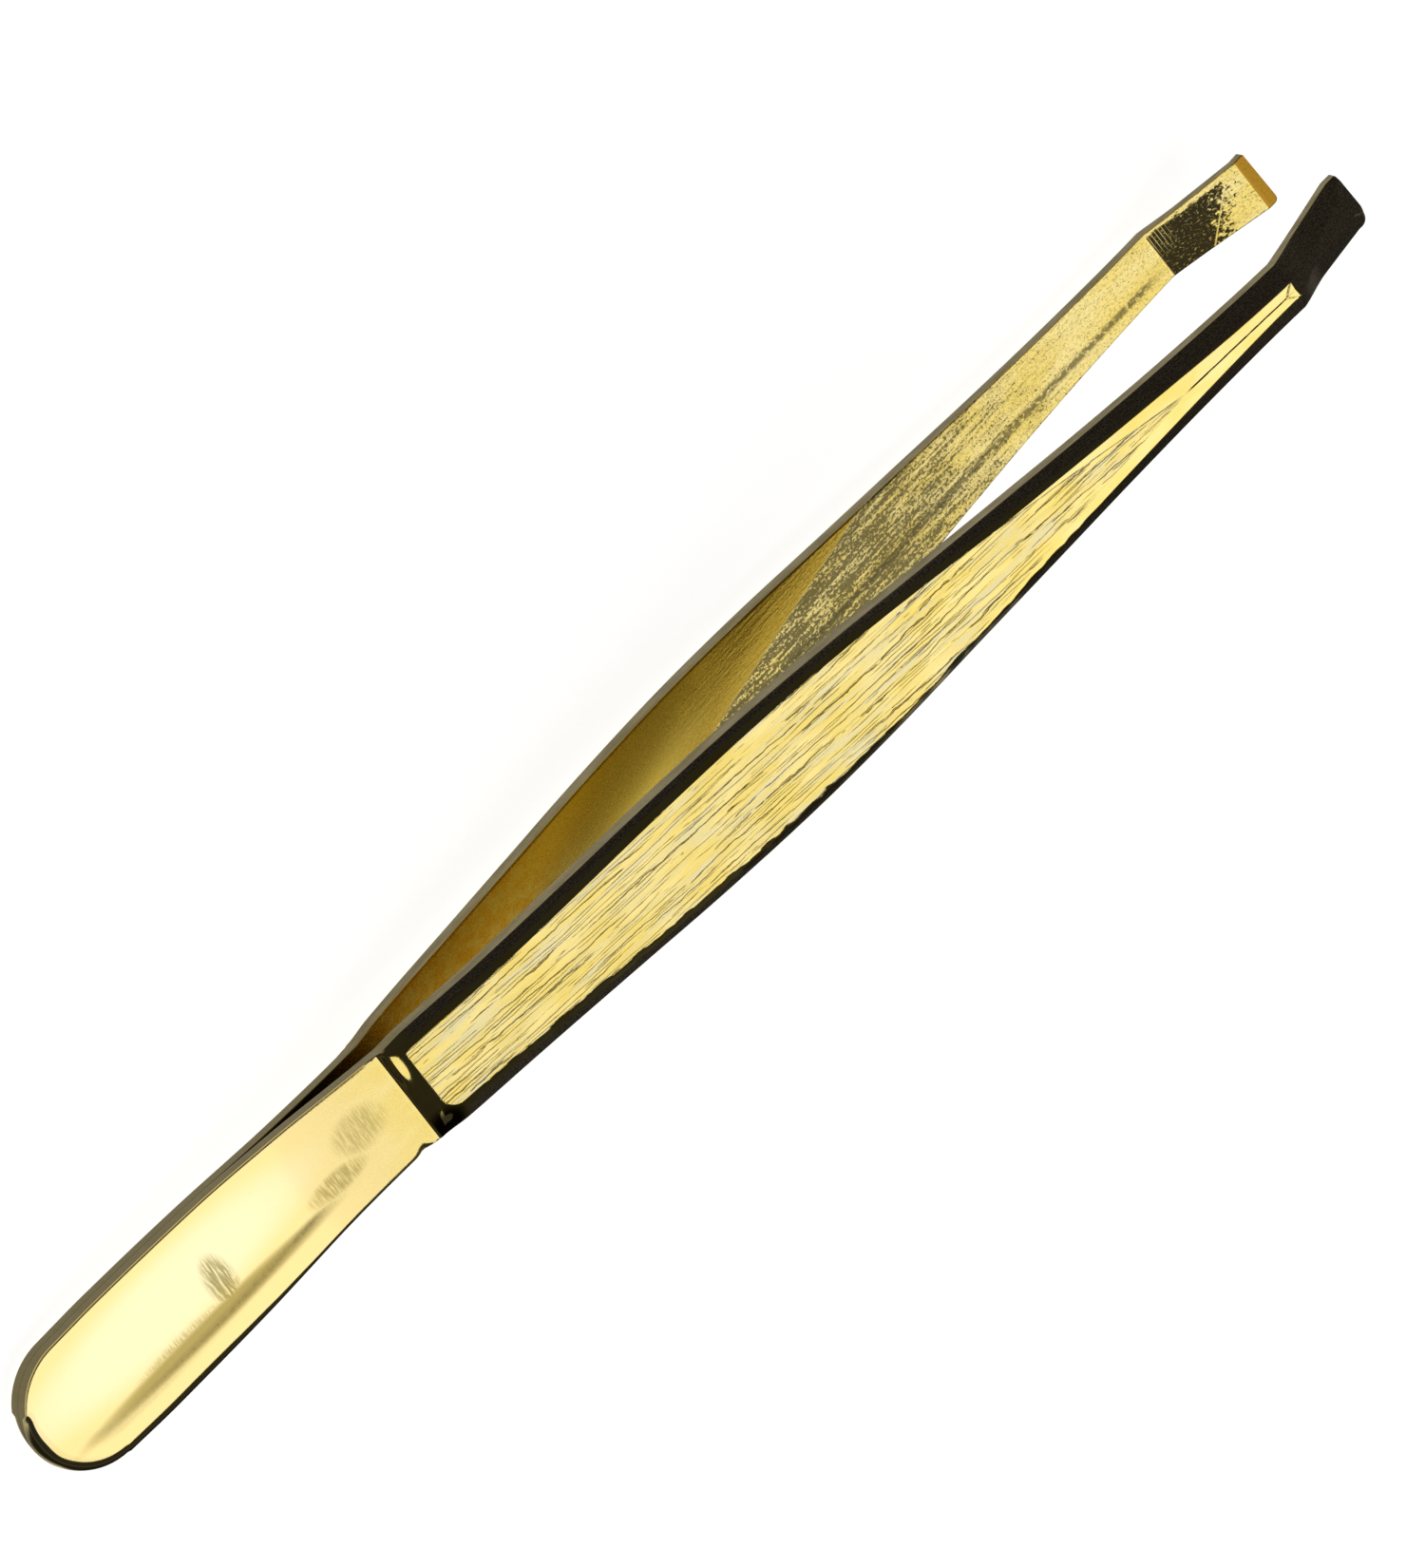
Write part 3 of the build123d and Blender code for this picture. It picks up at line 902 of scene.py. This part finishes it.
def inner_gold():
    """The inner faces: satin near the leaf with the other leg's shade and reflection painted on, mottled further
    out, burnt past the crease, a darker orange at the land.
    """
    n = Nodes("inner_gold")
    place = n.place()
    along, across = n.parts(place)[:2]
    pits = n.noise(n.stretched(place, (5.5, 8.0, 0.0)), 1.0, 3.0, 0.66)
    drawn = n.noise(n.stretched(place, (0.45, 4.6, 0.0), (4, 2, 0)), 1.0, 3.0, 0.58)
    cloud = n.noise(n.stretched(place, (0.25, 0.7, 0.0)), 1.0, 3.0)
    blotches = n.noise(n.stretched(place, (3.4, 4.2, 0.0), (2, 7, 0)), 1.0, 4.0, 0.65)
    far = n.ramp(along, *worked_starts)

    before_mottle = n.math("SUBTRACT", along, n.math("MULTIPLY", across, mottle_slant))
    before_shaded_band = n.math("SUBTRACT", along, n.math("MULTIPLY", across, shaded_band_slant))
    satin_shade_area = n.ramp(before_mottle, *mottle_starts[::-1])
    shaded_band = n.math("MULTIPLY", n.ramp(before_shaded_band, *shaded_band_starts), satin_shade_area)
    mottle = n.math("MULTIPLY", n.ramp(before_mottle, *mottle_starts), dark_grain(n, along, pits, drawn))
    streak = n.math("MULTIPLY", dark_streak(n, along, across, blotches), far)
    burnt = burnt_area(n, along, across, blotches, pits)

    stain = n.noise(n.stretched(place, (1.1, 1.6, 0.0), (6, 3, 0)), 1.0, 4.0, 0.7)
    stain = n.math("MULTIPLY", n.ramp(stain, 0.42, 0.58), n.ramp(along, *stains_end))
    colour = n.mix(n.ramp(cloud, 0.35, 0.65), PALE_GOLD, DEEP_GOLD)
    colour = n.mix(n.math("MULTIPLY", stain, 0.75), colour, ORANGE)
    # Painted reflection of the other leg, amber, before the slanting line
    colour = n.mix(n.math("MULTIPLY", satin_shade_area, n.ramp(along, *reflected_amber_starts)), colour, REFLECTED_AMBER)
    # Painted band of the other leg's shade, olive
    colour = n.mix(shaded_band, colour, OLIVE_SHADE)
    colour = n.mix(n.math("MULTIPLY", mottle, 0.9), colour, SOOT_AND_SHADE)
    colour = n.mix(n.math("MULTIPLY", streak, 0.8), colour, SOOT_AND_SHADE)
    speckle = n.math("MULTIPLY", n.ramp(pits, 0.50, 0.62), n.ramp(along, *speckle_starts))
    colour = n.mix(n.math("MULTIPLY", speckle, 0.40), colour, GROOVE)
    # Painted shade between the legs towards the leaf
    colour = n.mix(n.ramp(along, *shaded_leaf_ends, 0.0, 0.8), colour, SOOT_AND_SHADE)
    colour = n.mix(n.ramp(along, land_start - 0.03, land_start + 0.01), colour, LAND_GOLD)
    colour = n.mix(burnt, colour, BURNT_AND_SHADE)
    satin = n.ramp(pits, 0.3, 0.7, 0.22, 0.28)
    worked = n.ramp(pits, 0.3, 0.7, 0.12, 0.22)
    roughness = n.mix_number(far, satin, worked)
    normal = n.bump(n.math("MULTIPLY", pits, far), 5.0e-6)
    normal = n.bump(n.math("MULTIPLY", drawn, far), 8.0e-6, normal)
    normal = n.bump(burnt, 8.0e-6, normal)
    return n.finish(colour, roughness, normal)


def weld_steel():
    """Bare heat-tinted steel of the weld nuggets."""
    n = Nodes("weld_steel")
    place = n.add("TexCoord").outputs["Object"]
    grain = n.noise(place, 2200.0, 3.0)
    tint = n.noise(place, 600.0, 1.0)
    colour = n.mix(n.ramp(tint, 0.35, 0.65), (0.50, 0.49, 0.47, 1), (0.42, 0.36, 0.30, 1))
    return n.finish(colour, n.ramp(grain, 0.3, 0.7, 0.35, 0.5), n.bump(grain, 8.0e-6))


# ---------------------------------------------------------------- the tweezers

leg_materials = [outer_gold(), wall_gold(), inner_gold()]

for name, mirrored, seed in (("upper_leg", False, 11), ("lower_leg", True, 47)):
    level = name.split("_")[0]
    leg = leg_mesh(name, mirrored, seed, leg_materials)
    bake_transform(leg)
    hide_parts(f"{level}_heel_plate", f"{level}_arm")

welds = frame["nodes"]["spot_welds"]
welds.data.materials.clear()
welds.data.materials.append(weld_steel())


# ---------------------------------------------------------------- stage

# The reflected table's dark areas, in metres in the CAD frame: where it is still grey, and where dark. Beside and
# past the heel they are the tool's painted shadow.
far_side_y = (0.014, 0.034)
beside_heel_x = (0.010, 0.024)
beside_heel_y = (0.0022, 0.0042)
past_heel_x = (0.0445, 0.0465)
past_heel_y = (-0.0025, 0.0005)

softbox_distance = 0.8


def plane(name, size, height, material):
    mesh = bpy.data.meshes.new(name)
    h = size / 2
    corners = [(-h, -h, height), (h, -h, height), (h, h, height), (-h, h, height)]
    mesh.from_pydata(corners, [], [(0, 1, 2, 3)])
    mesh.materials.append(material)
    made = bpy.data.objects.new(name, mesh)
    bpy.context.scene.collection.objects.link(made)
    return made


def floor_material():
    material = bpy.data.materials.new("pale_floor")
    material.use_nodes = True
    shader = material.node_tree.nodes["Principled BSDF"]
    shader.inputs["Base Color"].default_value = (0.80, 0.80, 0.79, 1)
    shader.inputs["Roughness"].default_value = 0.9
    shader.inputs["Specular IOR Level"].default_value = 0.0
    shader.inputs["Emission Color"].default_value = (1.0, 1.0, 0.995, 1)
    shader.inputs["Emission Strength"].default_value = 0.92
    return material


def fall(tree, value, start, end, low=0.0, high=1.0):
    """Eases from low, where the value is start, to high, where it is end."""
    node = tree.nodes.new("ShaderNodeMapRange")
    node.interpolation_type = "SMOOTHSTEP"
    node.inputs["From Min"].default_value = start
    node.inputs["From Max"].default_value = end
    node.inputs["To Min"].default_value = low
    node.inputs["To Max"].default_value = high
    tree.links.new(value, node.inputs["Value"])
    return node.outputs["Result"]


def combine(tree, operation, a, b):
    node = tree.nodes.new("ShaderNodeMath")
    node.operation = operation
    tree.links.new(a, node.inputs[0])
    tree.links.new(b, node.inputs[1])
    return node.outputs["Value"]


def card_material():
    """The grey table top that shows only in reflections. It glows with painted light, and is dark beyond the tool
    and, as the tool's painted shadow, round its heel.
    """
    material = bpy.data.materials.new("grey_card")
    material.use_nodes = True
    tree = material.node_tree
    shader = tree.nodes["Principled BSDF"]
    shader.inputs["Base Color"].default_value = (0.0, 0.0, 0.0, 1)
    shader.inputs["Roughness"].default_value = 0.9
    shader.inputs["Specular IOR Level"].default_value = 0.0
    shader.inputs["Emission Strength"].default_value = 1.0
    place = tree.nodes.new("ShaderNodeTexCoord")
    parts = tree.nodes.new("ShaderNodeSeparateXYZ")
    tree.links.new(place.outputs["Object"], parts.inputs["Vector"])
    x = parts.outputs["X"]
    y = parts.outputs["Y"]
    far_side = fall(tree, y, *far_side_y)
    # Painted shadow of the tool beside and past its heel
    beside_heel = combine(tree, "MULTIPLY", fall(tree, x, *beside_heel_x), fall(tree, y, *beside_heel_y))
    past_heel = combine(tree, "MULTIPLY", fall(tree, x, *past_heel_x), fall(tree, y, *past_heel_y))
    dark = combine(tree, "MAXIMUM", far_side, combine(tree, "MAXIMUM", beside_heel, past_heel))
    mix = tree.nodes.new("ShaderNodeMix")
    mix.data_type = "RGBA"
    mix.inputs[6].default_value = (0.46, 0.45, 0.42, 1)
    mix.inputs[7].default_value = (0.012, 0.012, 0.012, 1)
    tree.links.new(dark, mix.inputs["Factor"])
    tree.links.new(mix.outputs[2], shader.inputs["Emission Color"])
    return material


floor = plane("floor", 12.0, 0.0, floor_material())
floor.visible_glossy = False
floor.visible_diffuse = False
card = plane("reflected_table", 1.2, -0.0002, card_material())
card.visible_camera = False
card.visible_diffuse = False
card.visible_shadow = False


def softbox(name, direction, width, height, brightness, colour=(1, 1, 1)):
    """An area light that faces the middle of the tool, its width along the leg."""
    light = bpy.data.lights.new(name, "AREA")
    light.shape = "RECTANGLE"
    light.size = width
    light.size_y = height
    light.energy = brightness * pi * width * height
    light.color = colour
    made = bpy.data.objects.new(name, light)
    bpy.context.scene.collection.objects.link(made)
    away = row_direction(direction)
    wide = row_direction((1, 0, 0))
    up = away.cross(wide).normalized()
    wide = up.cross(away)
    turn = Matrix((wide, up, away)).transposed().to_4x4()
    made.matrix_world = Matrix.Translation(row_point(look_at) + away * softbox_distance) @ turn
    made.visible_camera = False
    return made


softbox("key_softbox", (0.02, -0.423, 0.906), 0.88, 0.43, 0.99, (1.0, 0.985, 0.96))
softbox("hot_centre", (0.24, -0.42, 0.87), 0.22, 0.28, 0.12, (1.0, 0.98, 0.95))
softbox("side_softbox", (0.50, -0.68, 0.53), 0.30, 0.26, 0.5)
softbox("low_softbox", (-0.72, 0.66, 0.20), 0.34, 0.24, 0.55)


def studio_world():
    """Dim round the tool, brighter low down on its near side, and pale to the camera."""
    world = bpy.data.worlds.new("studio")
    world.use_nodes = True
    tree = world.node_tree
    dim = tree.nodes["Background"]
    dim.inputs["Color"].default_value = (1.0, 0.98, 0.95, 1)
    pale = tree.nodes.new("ShaderNodeBackground")
    pale.inputs["Color"].default_value = (1.0, 1.0, 0.995, 1)
    pale.inputs["Strength"].default_value = 1.0
    place = tree.nodes.new("ShaderNodeTexCoord")
    parts = tree.nodes.new("ShaderNodeSeparateXYZ")
    tree.links.new(place.outputs["Generated"], parts.inputs["Vector"])
    low_down = fall(tree, parts.outputs["Z"], 0.36, 0.10)
    near_side = fall(tree, parts.outputs["Y"], 0.25, -0.25, 0.02, 0.16)
    strength = tree.nodes.new("ShaderNodeMath")
    strength.operation = "MULTIPLY_ADD"
    strength.inputs[2].default_value = 0.02
    tree.links.new(low_down, strength.inputs[0])
    tree.links.new(near_side, strength.inputs[1])
    tree.links.new(strength.outputs["Value"], dim.inputs["Strength"])
    path = tree.nodes.new("ShaderNodeLightPath")
    mix = tree.nodes.new("ShaderNodeMixShader")
    tree.links.new(path.outputs["Is Camera Ray"], mix.inputs["Fac"])
    tree.links.new(dim.outputs["Background"], mix.inputs[1])
    tree.links.new(pale.outputs["Background"], mix.inputs[2])
    tree.links.new(mix.outputs["Shader"], tree.nodes["World Output"].inputs["Surface"])
    bpy.context.scene.world = world


studio_world()


def place_camera():
    camera = bpy.data.cameras.new("camera")
    camera.lens = lens
    camera.sensor_width = sensor
    distance = view_height * MM * lens / sensor
    camera.clip_start = distance * 0.5
    camera.clip_end = distance * 4
    made = bpy.data.objects.new("camera", camera)
    bpy.context.scene.collection.objects.link(made)
    back = row_direction(camera_side)
    down = row_direction(picture_down)
    right = down.cross(-back).normalized()
    up = back.cross(right)
    turn = Matrix((right, up, back)).transposed().to_4x4()
    made.matrix_world = Matrix.Translation(row_point(look_at) + back * distance) @ turn
    bpy.context.scene.camera = made


place_camera()
bpy.context.scene.view_settings.view_transform = "Standard"
